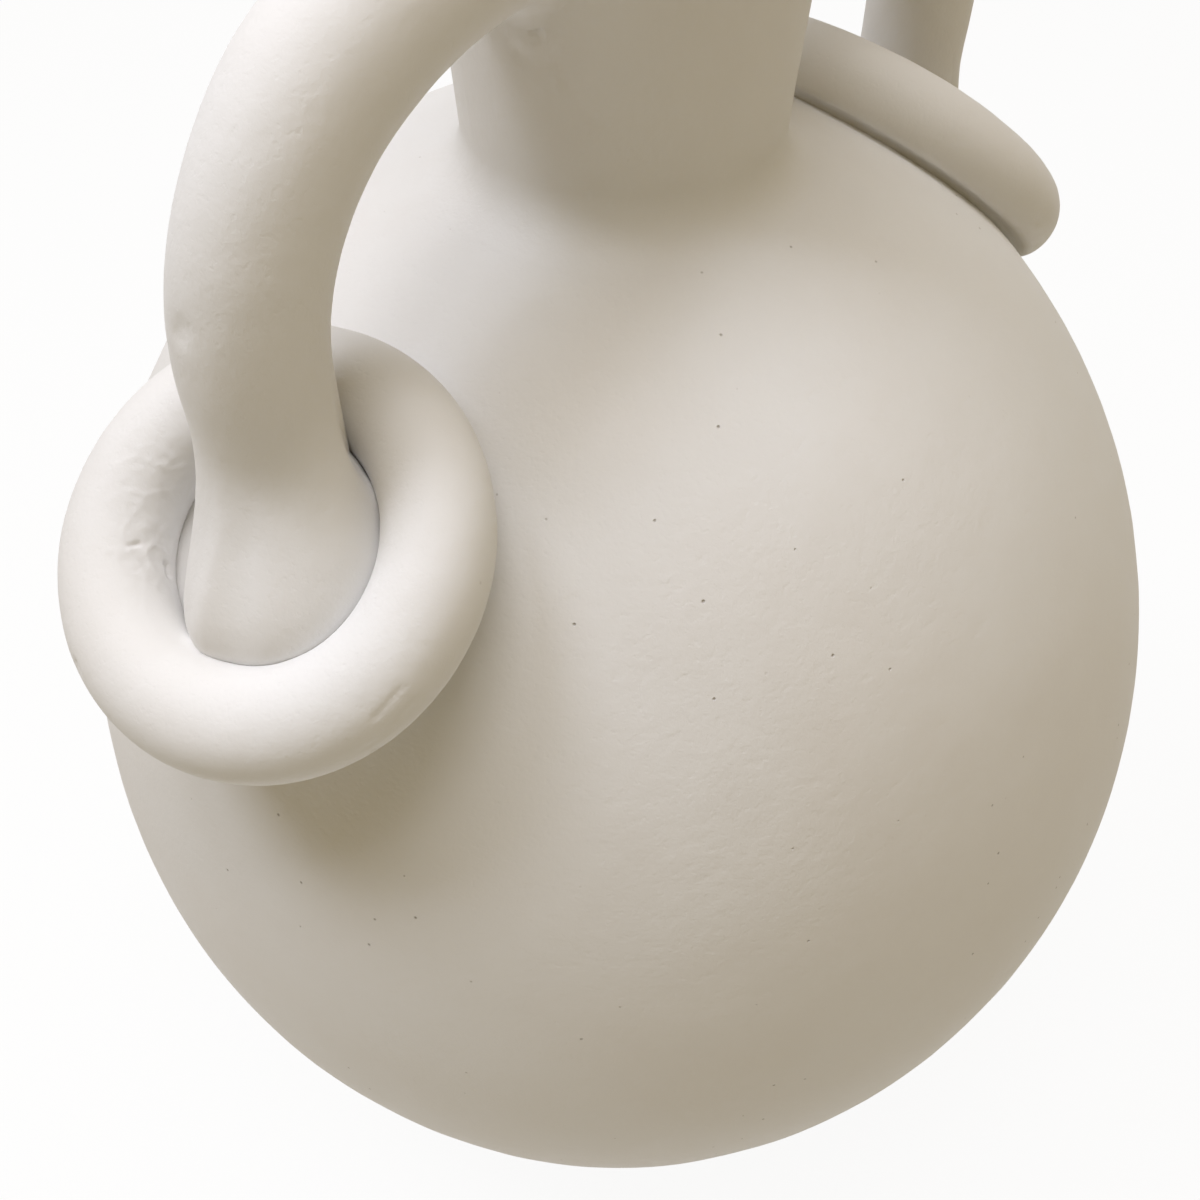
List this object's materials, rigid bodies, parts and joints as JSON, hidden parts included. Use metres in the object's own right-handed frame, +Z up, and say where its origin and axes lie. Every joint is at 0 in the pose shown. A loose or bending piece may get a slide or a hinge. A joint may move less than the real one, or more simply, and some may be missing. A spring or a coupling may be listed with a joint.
{
  "type": "vase",
  "caption": "Round-bellied ceramic vase with a short flaring neck, two arched coil handles, and a thick clay ring round the foot of each handle.",
  "frame": {"origin": "middle of the flat foot that the vase stands on", "axes": "+Z up through the mouth, -X towards the left handle, +X roughly towards the right handle"},
  "size_m": [0.2211, 0.22, 0.32],
  "materials": {
    "white_clay": "matte"
  },
  "bodies": {
    "root": {"belly": "white_clay", "neck": "white_clay", "neck_luting": "white_clay", "handle_left": "white_clay", "handle_left_foot": "white_clay", "handle_left_neck_luting": "white_clay", "ring_left": "white_clay", "handle_right": "white_clay", "handle_right_foot": "white_clay", "handle_right_neck_luting": "white_clay", "ring_right": "white_clay"}
  },
  "joints": []
}
